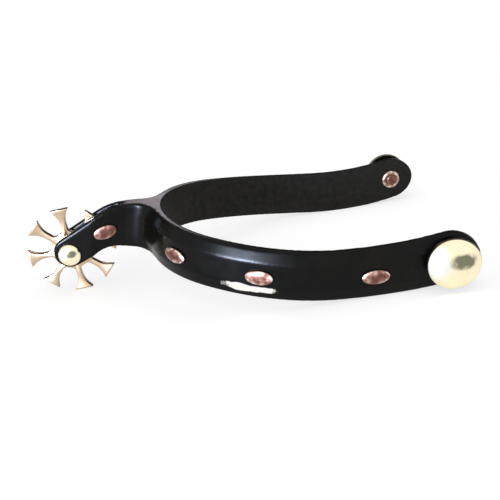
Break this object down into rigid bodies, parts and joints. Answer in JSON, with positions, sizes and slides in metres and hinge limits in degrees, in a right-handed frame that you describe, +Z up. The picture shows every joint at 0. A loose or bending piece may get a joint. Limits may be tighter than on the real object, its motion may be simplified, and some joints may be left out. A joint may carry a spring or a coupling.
{
  "type": "western riding spur",
  "caption": "Western riding spur: black U-shaped heel band with copper studs, forked shank, free-turning brass star rowel and a domed brass strap button at each end.",
  "frame": {"origin": "middle of the spur's bounding box in plan, at the level of the table it stands on", "axes": "+X from the heel towards the toe, +Y towards the far branch, +Z up; the spur stands on its rowel and on the lower edges of both branches"},
  "size_m": [0.1734, 0.1168, 0.0364],
  "materials": {
    "black_steel": "satin black lacquered steel, edges worn brighter",
    "pale_brass": "polished pale brass",
    "rowel_brass": "satin brass with darker cut edges",
    "copper": "rubbed copper, tarnished in the middle"
  },
  "bodies": {
    "frame": {"heel_band": "black_steel", "shank": "black_steel", "rowel_pin": "pale_brass", "rowel_pin_burr": "pale_brass", "near_heel_stud": "copper", "near_middle_stud": "copper", "near_front_stud": "copper", "near_shank_stud": "copper", "far_heel_stud": "copper", "far_middle_stud": "copper", "far_front_stud": "copper", "far_shank_stud": "copper"},
    "rowel": {"rowel": "rowel_brass"},
    "near_button": {"near_button_cap": "pale_brass", "near_button_back": "black_steel", "near_button_rivet": "copper", "near_button_burr": "copper"},
    "far_button": {"far_button_cap": "pale_brass", "far_button_back": "black_steel", "far_button_rivet": "copper", "far_button_burr": "copper"}
  },
  "joints": [
    {"name": "rowel_spin", "type": "hinge", "parent": "frame", "child": "rowel", "pos_m": [-0.06844, 0, 0.01821], "axis": [0, 1, 0], "continuous": true},
    {"name": "near_button_swivel", "type": "hinge", "parent": "frame", "child": "near_button", "pos_m": [0.07599, -0.04758, 0.01141], "axis": [-0.0714, -0.9973, 0.0173], "continuous": true},
    {"name": "far_button_swivel", "type": "hinge", "parent": "frame", "child": "far_button", "pos_m": [0.07599, 0.04758, 0.01141], "axis": [-0.0714, 0.9973, 0.0173], "continuous": true}
  ]
}
